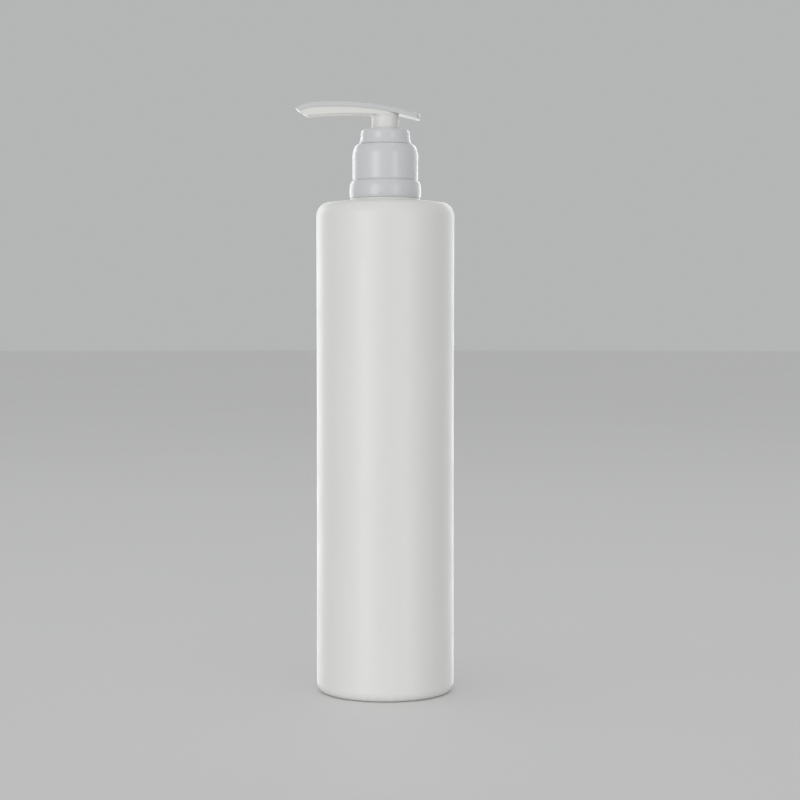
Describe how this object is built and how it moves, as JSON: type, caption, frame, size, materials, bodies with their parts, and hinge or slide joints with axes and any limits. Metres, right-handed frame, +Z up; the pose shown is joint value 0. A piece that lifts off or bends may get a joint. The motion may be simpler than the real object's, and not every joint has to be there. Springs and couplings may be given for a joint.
{
  "type": "shampoo pump bottle",
  "caption": "Tall round plastic bottle with a screw-on lotion pump, stepped closure and long curved nozzle head, shown pressed down.",
  "frame": {"origin": "on the bottle's axis, in the plane that the bottle stands on", "axes": "+Z up along the bottle's axis; -X is the way the nozzle points at rest"},
  "size_m": [0.069, 0.06, 0.257],
  "materials": {
    "bottle_hdpe": "satin white blow-moulded polyethylene",
    "collar_pp": "smooth cool-white moulded polypropylene",
    "head_pp": "smooth warm-white moulded polypropylene",
    "cover_pp": "smooth light-grey moulded polypropylene",
    "inner_pp": "natural polypropylene, slightly milky",
    "tube_pe": "natural extruded polyethylene tube",
    "piston_pe": "soft white polyethylene",
    "gasket_foam": "foamed polyethylene sheet",
    "spring_steel": "drawn stainless steel"
  },
  "bodies": {
    "bottle": {"bottle": "bottle_hdpe"},
    "pump": {"housing": "inner_pp", "chaplet": "collar_pp", "gasket": "gasket_foam", "dip_tube": "tube_pe", "spring_seat": "inner_pp", "spring": "spring_steel"},
    "closure": {"closure": "collar_pp"},
    "rod": {"stem": "inner_pp", "piston_seat": "inner_pp"},
    "piston": {"piston": "piston_pe"},
    "ball": {"inlet_ball": "spring_steel"},
    "head": {"actuator": "head_pp", "actuator_cover": "cover_pp"}
  },
  "joints": [
    {"name": "pump_lift", "type": "slide", "parent": "bottle", "child": "pump", "axis": [0, 0, 1], "range_m": [0, 0.00556]},
    {"name": "closure_turn", "type": "hinge", "parent": "pump", "child": "closure", "pos_m": [0, 0, 0.2268], "axis": [0, 0, 1], "range_deg": [0, 630]},
    {"name": "head_stroke", "type": "slide", "parent": "pump", "child": "rod", "axis": [0, 0, 1], "range_m": [0, 0.012], "deforming": ["spring"]},
    {"name": "head_turn", "type": "hinge", "parent": "rod", "child": "head", "pos_m": [0, 0, 0.25], "axis": [0, 0, 1], "continuous": true},
    {"name": "piston_slip", "type": "slide", "parent": "rod", "child": "piston", "axis": [0, 0, 1], "range_m": [0, 0.0012]},
    {"name": "ball_lift", "type": "slide", "parent": "pump", "child": "ball", "axis": [0, 0, 1], "range_m": [0, 0.0016]}
  ],
  "couplings": [
    {"joint": "pump_lift", "follows": "closure_turn", "m_per_rad": 0.00050532}
  ]
}
